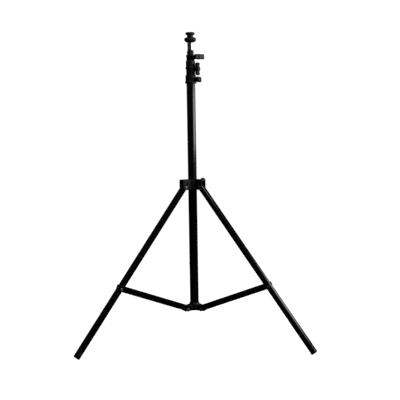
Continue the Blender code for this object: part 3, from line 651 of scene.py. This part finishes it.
class STAND_OT_knobs(bpy.types.Operator):
    """Wing knobs and their threaded screws"""

    bl_idname = "stand.knobs"
    bl_label = "Wing Knobs"

    # Wings that stand otherwise than in the CAD model, in degrees up from level
    tilts = {"upper": 2.0, "leg_collar": 90.0}

    def knob_place(self, prefix):
        """Frame of a knob: X out along its screw, Z along its wing, at its rear face."""
        node = f"{prefix}_wing_knob"
        hinge = JOINTS[f"{prefix}_knob_turn"]
        outward, origin = Vector(hinge["axis"]), Vector(hinge["pos_m"])
        if prefix in self.tilts:
            angle = math.radians(self.tilts[prefix])
            first, second = UP.cross(outward), UP
        else:
            # The wing lies where the node's vertices spread most about the screw
            first = outward.orthogonal().normalized()
            second = outward.cross(first)
            across = along = 0.0
            for place in {tuple(round(part, 6) for part in place) for place in corners(node)}:
                off = Vector(place) - origin
                one, two = off.dot(first), off.dot(second)
                across += 2.0 * one * two
                along += one * one - two * two
            angle = math.atan2(across, along) / 2
        wing = first * math.cos(angle) + second * math.sin(angle)
        turn = Matrix((outward, wing.cross(outward), wing)).transposed().to_4x4()
        return Matrix.Translation(origin + outward * reach(node, origin, outward)[0]) @ turn

    def ball(self, place, size):
        """Ellipsoid that scoops out a hollow."""
        bpy.ops.object.select_all(action="DESELECT")
        bpy.ops.mesh.primitive_uv_sphere_add(segments=48, ring_count=24, radius=1.0)
        return laid(bpy.context.object, Matrix.Translation(place) @ Matrix.Diagonal((*size, 1.0)))

    def moulded_knob(self):
        """Knob with soft edges, thumb hollows in both wings and a cap in its centre."""
        knob = softened("lower_wing_knob", edge=1.4 * MM)
        knob.data.transform(self.knob_place("lower").inverted())
        high = max(vertex.co.x for vertex in knob.data.vertices)
        tip = max(vertex.co.z for vertex in knob.data.vertices)
        size = (0.52 * tip, 0.30 * tip, 0.30 * tip)
        rear, front = -0.25 * high - 0.32 * tip, high + 0.5 * tip
        for out in (-0.66 * tip, 0.66 * tip):
            for depth in (rear, front):
                carve(knob, self.ball((depth, 0.0, out), size))
        applied(knob, "REMESH", mode="VOXEL",
                voxel_size=bpy.context.scene.stand_detail.knob_voxel)
        applied(knob, "SMOOTH", factor=0.5, iterations=5)
        cap, outer, tall, cut = 3.6 * MM, 4.6 * MM, 4.0 * MM, 0.7 * MM
        groove = turned([(cap, 0.0), (outer, 0.0), (outer, tall), (cap, tall), (cap, 0.0)],
                        axis_frame((high - cut, 0.0, 0.0), (1.0, 0.0, 0.0)), sides=48, hollow=True)
        return smooth(carve(knob, groove), angle=50.0)

    def screw(self, node, origin, outward):
        """Screw whose thread is cut in rings of the thread's pitch."""
        low, high, radius = reach(node, origin, outward)
        pitch = bpy.context.scene.stand_detail.thread_pitch
        middle, point, core = radius * 0.5, radius * 0.8, radius * 0.84
        crest_start, crest_stop = 0.42 * pitch, 0.55 * pitch
        profile = [(middle, low), (point, low)]
        for turn in range(int((high - low) / pitch) - 1):
            root = low + (turn + 0.5) * pitch
            profile += [(core, root), (radius, root + crest_start), (radius, root + crest_stop)]
        profile += [(core, high - 0.3 * pitch), (core, high)]
        wear(turned(profile, axis_frame(origin, outward), sides=48), node)

    def execute(self, context):
        pattern = self.moulded_knob()
        for prefix in CLAMPS:
            knob = pattern.copy()
            knob.data = pattern.data.copy()
            bpy.context.scene.collection.objects.link(knob)
            wear(laid(knob, self.knob_place(prefix)), f"{prefix}_wing_knob")
            hinge = JOINTS[f"{prefix}_knob_turn"]
            self.screw(f"{prefix}_knob_screw", Vector(hinge["pos_m"]), Vector(hinge["axis"]))
        bpy.data.objects.remove(pattern, do_unlink=True)
        return {"FINISHED"}


class STAND_OT_head(bpy.types.Operator):
    """Chrome stud, fluted locking ring and head plate"""

    bl_idname = "stand.head"
    bl_label = "Head"

    # Bore of the stud's top and of the locking ring
    bore = 5.3 * MM
    # Outside of the locking ring from its foot up, as shares of its radius and of its height
    ring_side = ((0.68, 0.0), (0.9, 0.2), (1.0, 0.45), (1.0, 0.72), (0.86, 0.9), (0.72, 1.0))

    def stud(self):
        """Chrome stud with a bored top."""
        low, high, _ = reach("stud", COLUMN_FOOT, UP)
        seat = reach("top_tube", COLUMN_FOOT, UP)[1] + SEAM
        radius, plug, bore, floor = 8.0 * MM, 6.8 * MM, self.bore, high - 18.0 * MM
        outline = rounded([
            (plug * START_RING, low), (plug, low), (plug, seat), (radius, seat), (radius, high),
            (bore, high), (bore, floor), (bore * STOP_RING, floor)], radius=0.7 * MM, steps=4)
        wear(turned(outline, axis_frame(COLUMN_FOOT, UP)), "stud")

    def ring(self):
        """Locking ring with soft flutes round its rim."""
        low, high, radius = reach("locking_ring", COLUMN_FOOT, UP)
        side = [(wide * radius, low + up * (high - low)) for wide, up in self.ring_side]
        rim = rounded([(self.bore, low), *side, (self.bore, high)], radius=1.2 * MM, steps=5)
        flutes = bpy.context.scene.stand_detail.ring_flutes
        flute_start, flute_depth = 0.86, 0.055
        ring = turned([*rim, rim[0]], axis_frame(COLUMN_FOOT, UP), flutes * 12, hollow=True)
        for vertex in ring.data.vertices:
            off = vertex.co - COLUMN_FOOT
            share = max(0.0, (off.xy.length / radius - flute_start) / (1.0 - flute_start))
            wave = 0.5 - 0.5 * math.cos(flutes * math.atan2(off.y, off.x))
            cut = 1.0 - flute_depth * share * wave ** 2
            vertex.co.x = COLUMN_FOOT.x + off.x * cut
            vertex.co.y = COLUMN_FOOT.y + off.y * cut
        wear(smooth(ring, angle=50.0), "locking_ring")

    def plate(self):
        """Head plate, neck and shank, with a fine groove round the plate's rim."""
        low, high, radius = reach("head_plate", COLUMN_FOOT, UP)
        neck_foot = reach("locking_ring", COLUMN_FOOT, UP)[1] + SEAM
        neck, shank, thick, groove, soft = 8.8 * MM, 5.0 * MM, 7.3 * MM, 0.35 * MM, 1.7 * MM
        under = high - thick
        middle = high - thick / 2
        outline = rounded([
            (shank * START_RING, low), (shank, low), (shank, neck_foot), (neck, neck_foot),
            (neck, under), (radius - soft, under), (radius, under + soft),
            (radius, middle - 2 * groove), (radius - groove, middle - groove),
            (radius - groove, middle + groove), (radius, middle + 2 * groove),
            (radius, high - soft), (radius - soft, high), (radius * STOP_RING, high)],
            radius=0.7 * MM, steps=4)
        wear(turned(outline, axis_frame(COLUMN_FOOT, UP)), "head_plate")

    def execute(self, context):
        self.stud()
        self.ring()
        self.plate()
        return {"FINISHED"}


class STAND_OT_legs(bpy.types.Operator):
    """Leg tubes, top plugs, bushes and grooved rubber feet"""

    bl_idname = "stand.legs"
    bl_label = "Legs"

    def foot(self, node, origin, down):
        """Rubber foot with grooves, its spigot up inside the tube."""
        low, high, radius = reach(node, origin, down)
        tube_end = reach(node.replace("rubber_foot", "leg_tube"), origin, down)[1] + SEAM
        spigot, lead = 8.2 * MM, 1.0 * MM
        mouth, bed, deep = 0.7 * MM, 0.35 * MM, 0.55 * MM
        toe, toe_corner = 3.0 * MM, 0.9 * MM
        outline = [(spigot * START_RING, low), (spigot - lead, low), (spigot, low + lead),
                   (spigot, tube_end), (radius, tube_end)]
        count = bpy.context.scene.stand_detail.foot_grooves
        pitch = (high - tube_end) / (count + 2.5)
        for groove in range(count):
            centre = tube_end + (groove + 1.2) * pitch
            outline += [(radius, centre - mouth), (radius - deep, centre - bed),
                        (radius - deep, centre + bed), (radius, centre + mouth)]
        outline += [(radius, high - toe), (radius - toe_corner, high - toe_corner),
                    (radius - toe, high), (radius * STOP_RING, high)]
        outline = rounded(outline, radius=0.5 * MM, steps=2)
        wear(turned(outline, axis_frame(origin, down)), node)

    def execute(self, context):
        wall = context.scene.stand_detail.leg_wall
        pin_hole, bush_hole = 2.8 * MM, 4.3 * MM
        for side in SIDES:
            origin, down, across = leg_axis(side)
            tube = f"{side}_leg_tube"
            leg = pipe(tube, origin, down, wall)
            radius = reach(tube, origin, down)[2]
            bored(leg, origin, across, pin_hole, 2 * radius)
            bored(leg, middle_of(f"{side}_brace_bush"), across, bush_hole, 2 * radius)
            wear(leg, tube)
            wear(softened(f"{side}_leg_top_plug", edge=0.3 * MM), f"{side}_leg_top_plug")
            wear(softened(f"{side}_brace_bush", edge=0.2 * MM), f"{side}_brace_bush")
            self.foot(f"{side}_rubber_foot", origin, down)
        return {"FINISHED"}


class STAND_OT_braces(bpy.types.Operator):
    """Channel braces, their rivets, and the pins of legs and hub"""

    bl_idname = "stand.braces"
    bl_label = "Braces and Pins"

    # Dome of a head from its rim in, as shares of the head's radius and of the dome's depth
    dome_side = ((1.0, 1.0), (0.75, 0.35), (0.35, 0.05), (0.1, 0.0))

    def headed(self, node, origin, across, both):
        """Pin with a domed head at both ends, or rivet with one at its outer end."""
        low, high, radius = reach(node, origin, across)
        shank, head, dome = 2.5 * MM, 1.5 * MM, 0.55 * MM
        top = [(shank, high - head), (radius, high - head)]
        top += [(radius * wide, high - dome * deep) for wide, deep in self.dome_side]
        foot = [(shank * START_RING, low), (shank, low)]
        if both:
            foot = [(radius * wide, low + dome * deep) for wide, deep in reversed(self.dome_side)]
            foot += [(radius, low + head), (shank, low + head)]
        outline = rounded(foot + top, radius=0.25 * MM, steps=3)
        wear(turned(outline, axis_frame(origin, across), sides=40), node)

    def execute(self, context):
        for side in SIDES:
            wear(softened(f"{side}_brace_channel", edge=0.45 * MM), f"{side}_brace_channel")
            for kind, hinge in (("hub", brace_axis(side)), ("leg", leg_axis(side))):
                self.headed(f"{side}_{kind}_pin", hinge[0], hinge[2], both=True)
            for end in ("first", "second"):
                node = f"{side}_brace_{end}_rivet"
                middle = middle_of(f"{side}_brace_bush")
                self.headed(node, middle, middle_of(node) - middle, both=False)
        return {"FINISHED"}


class STAND_OT_stage(bpy.types.Operator):
    """Pale floor, soft light and the camera at the photograph's view"""

    bl_idname = "stand.stage"
    bl_label = "Studio"

    def ground(self, strength):
        """White floor that is bright to the eye and dark in the gloss of the paint."""
        bpy.ops.object.select_all(action="DESELECT")
        bpy.ops.mesh.primitive_plane_add(size=24.0, location=(0.0, 0.0, 0.0))
        floor = bpy.context.object
        floor.name = "floor"
        shader = Shader("pale_floor")
        finish = {"Base Color": (0.80, 0.80, 0.80, 1.0), "Roughness": 1.0,
                  "Emission Color": (1.0, 1.0, 1.0, 1.0), "Emission Strength": 0.99 * strength}
        for name, value in finish.items():
            shader.surface.inputs[name].default_value = value
        dark = shader.node("ShaderNodeBsdfDiffuse", Color=(0.02, 0.02, 0.02, 1.0))
        mix = shader.node("ShaderNodeMixShader")
        shader.feed(mix.inputs[0], shader.node("ShaderNodeLightPath").outputs["Is Camera Ray"])
        shader.feed(mix.inputs[1], dark.outputs[0])
        shader.feed(mix.inputs[2], shader.surface.outputs[0])
        shader.feed(shader.tree.nodes["Material Output"].inputs["Surface"], mix.outputs[0])
        floor.data.materials.append(shader.material)

    def sky(self, strength):
        """White backdrop for the eye, and a faint even light for everything else."""
        world = bpy.data.worlds.new("studio")
        bpy.context.scene.world = world
        world.use_nodes = True
        faint = 0.030
        tree = world.node_tree
        back = tree.nodes["Background"]
        path = tree.nodes.new("ShaderNodeLightPath")
        seen = Value(tree, path.outputs["Is Camera Ray"]) * strength + faint
        tree.links.new(seen.socket, back.inputs["Strength"])
        back.inputs["Color"].default_value = (1.0, 1.0, 1.0, 1.0)

    def softbox(self, name, place, size, power):
        """Rectangular soft light that looks at the middle of the stand."""
        bpy.ops.object.select_all(action="DESELECT")
        bpy.ops.object.light_add(type="AREA", location=place)
        lamp = bpy.context.object
        lamp.name = name
        lamp.data.shape = "RECTANGLE"
        lamp.data.size, lamp.data.size_y = size
        lamp.data.energy = power
        aim = LIGHT_AIM - Vector(place)
        lamp.rotation_euler = aim.to_track_quat("-Z", "Y").to_euler()

    def camera(self, studio):
        """Camera at the photograph's place, with its slight roll."""
        bpy.ops.object.select_all(action="DESELECT")
        place = (-studio.beside, COLUMN_FOOT.y - studio.distance, studio.height)
        bpy.ops.object.camera_add(location=place)
        camera = bpy.context.object
        camera.data.sensor_width = SENSOR
        camera.data.lens = SENSOR * studio.focal_pixels / FRAME_PIXELS
        camera.data.shift_y = -studio.rise_pixels / FRAME_PIXELS
        forward = Vector((math.sin(studio.yaw) * math.cos(studio.pitch),
                          math.cos(studio.yaw) * math.cos(studio.pitch), -math.sin(studio.pitch)))
        turn = forward.to_track_quat("-Z", "Y").to_matrix().to_4x4()
        turn = turn @ Matrix.Rotation(-studio.roll, 4, "Z")
        camera.matrix_world = Matrix.Translation(place) @ turn
        bpy.context.scene.camera = camera

    def execute(self, context):
        studio = context.scene.stand_studio
        context.scene.view_settings.view_transform = "Standard"
        self.ground(studio.backdrop)
        self.sky(studio.backdrop)
        for name, (place, size, power) in LIGHTS.items():
            self.softbox(name, place, size, power)
        self.camera(studio)
        return {"FINISHED"}


class STAND_PT_panel(bpy.types.Panel):
    """Sidebar list of the stand's pieces"""

    bl_label = "Ring Light Stand"
    bl_space_type = "VIEW_3D"
    bl_region_type = "UI"
    bl_category = "Stand"

    def draw(self, context):
        for group in (context.scene.stand_finish, context.scene.stand_detail,
                      context.scene.stand_studio):
            for name in group.__annotations__:
                self.layout.prop(group, name)
        for operator in OPERATORS:
            self.layout.operator(operator.bl_idname)


OPERATORS = (STAND_OT_tubes, STAND_OT_mouldings, STAND_OT_knobs, STAND_OT_head, STAND_OT_legs,
             STAND_OT_braces, STAND_OT_stage)
GROUPS = {"stand_finish": StandFinish, "stand_detail": StandDetail, "stand_studio": StandStudio}


def register():
    """Register the classes and hang the sizes on the scene."""
    for kind in (*GROUPS.values(), *OPERATORS, STAND_PT_panel):
        bpy.utils.register_class(kind)
    for name, kind in GROUPS.items():
        setattr(bpy.types.Scene, name, PointerProperty(type=kind))


def unregister():
    """Undo register."""
    for name in GROUPS:
        delattr(bpy.types.Scene, name)
    for kind in (STAND_PT_panel, *reversed(OPERATORS), *GROUPS.values()):
        bpy.utils.unregister_class(kind)


def main():
    """Register the settings, dress the stand and set the studio."""
    register()
    bpy.ops.stand.tubes()
    bpy.ops.stand.mouldings()
    bpy.ops.stand.knobs()
    bpy.ops.stand.head()
    bpy.ops.stand.legs()
    bpy.ops.stand.braces()
    bpy.ops.stand.stage()


if __name__ == "__main__":
    main()
